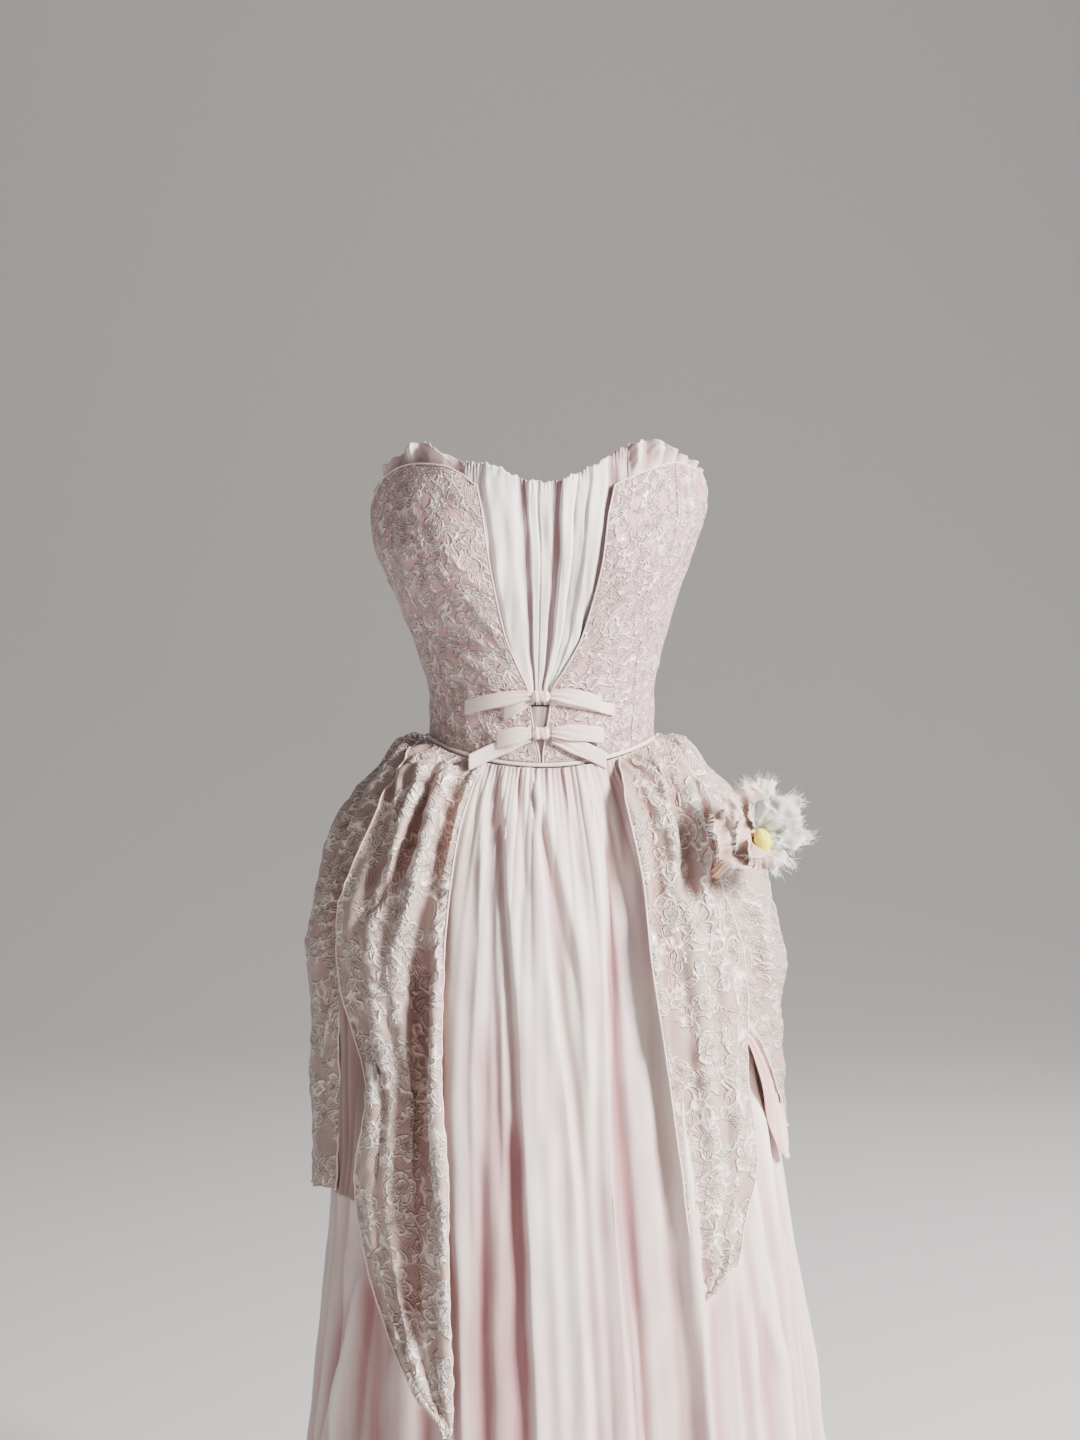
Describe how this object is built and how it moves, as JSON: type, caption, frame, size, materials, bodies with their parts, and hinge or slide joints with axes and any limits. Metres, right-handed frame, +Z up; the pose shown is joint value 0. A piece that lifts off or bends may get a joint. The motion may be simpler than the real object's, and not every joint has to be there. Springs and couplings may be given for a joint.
{
  "type": "evening gown",
  "caption": "Strapless full-length gown: lace bodice with a V over pleated chiffon, bows, petal-shaped lace drapes over a gathered skirt, flower on one hip.",
  "frame": {"origin": "middle of the waist, where the wearer holds the gown up", "axes": "+Z up along the body, -Y towards the front, +X towards the flower's side (the viewer's right)"},
  "size_m": [0.5991, 0.5573, 1.3115],
  "materials": {
    "lace": "pink lace over a matching lining",
    "chiffon": "pale pink chiffon",
    "ribbon": "pale pink satin",
    "satin": "grey-pink satin",
    "lining": "peach chiffon",
    "organza": "frayed white organza",
    "stem": "peach cloth",
    "yellow": "yellow cloth"
  },
  "bodies": {
    "root": {"back_placket": "lace", "bodice_back_left": "lace", "bodice_back_right": "lace", "bodice_front_left": "lace", "bodice_front_right": "lace", "bodice_side_left": "lace", "bodice_side_right": "lace", "bow_lower_end_left": "ribbon", "bow_lower_end_right": "ribbon", "bow_lower_knot": "ribbon", "bow_lower_tail_left": "ribbon", "bow_lower_tail_right": "ribbon", "bow_upper_end_left": "ribbon", "bow_upper_end_right": "ribbon", "bow_upper_knot": "ribbon", "bow_upper_tail_left": "ribbon", "bow_upper_tail_right": "ribbon", "drape_front_left": "lace", "drape_front_right": "lace", "drape_side_left": "lace", "drape_side_right": "lace", "flower_base": "stem", "flower_centre": "yellow", "flower_inner_1": "organza", "flower_inner_2": "organza", "flower_inner_3": "organza", "flower_petal_1": "organza", "flower_petal_2": "organza", "flower_petal_3": "organza", "flower_petal_4": "organza", "flower_petal_5": "organza", "flower_petal_6": "organza", "frill_left": "chiffon", "frill_right": "chiffon", "front_stay": "satin", "lining_front_right": "lining", "lining_side_left": "lining", "lining_side_right": "lining", "skirt_back_left": "chiffon", "skirt_back_right": "chiffon", "skirt_front": "chiffon", "vestee": "chiffon", "waist_piping": "ribbon"}
  },
  "joints": []
}
